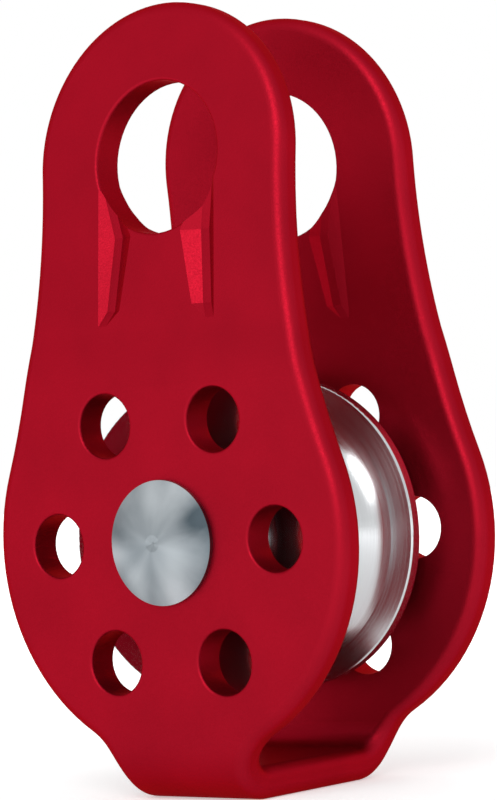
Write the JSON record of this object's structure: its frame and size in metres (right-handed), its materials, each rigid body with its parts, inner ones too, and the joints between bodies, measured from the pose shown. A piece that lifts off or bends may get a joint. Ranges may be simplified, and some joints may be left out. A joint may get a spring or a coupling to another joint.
{
  "type": "pulley",
  "caption": "Mini rope pulley with fixed cheeks: a folded red sheet carries a grooved aluminium sheave on a riveted axle under an eye for a connector.",
  "frame": {"origin": "under the middle of the web, where the pulley stands, midway between the two cheeks", "axes": "+Y along the eye from the front cheek to the rear one, +Z from the axle towards the eye, +X to the right of the front cheek"},
  "size_m": [0.0468, 0.0332, 0.0853],
  "materials": {
    "red_anodised": "red anodised, tumbled",
    "turned_aluminium": "turned, bright",
    "bronze": "sintered, dull",
    "steel": "formed head, satin",
    "bearing_plastic": "matte"
  },
  "bodies": {
    "frame": {"cheek_frame": "red_anodised", "axle_rivet": "steel", "thrust_washer_front": "bearing_plastic", "thrust_washer_rear": "bearing_plastic"},
    "wheel": {"sheave": "turned_aluminium", "bushing": "bronze"}
  },
  "joints": [
    {"name": "sheave_spin", "type": "hinge", "parent": "frame", "child": "wheel", "pos_m": [0, 0, 0.0276], "axis": [0, 1, 0], "continuous": true}
  ]
}
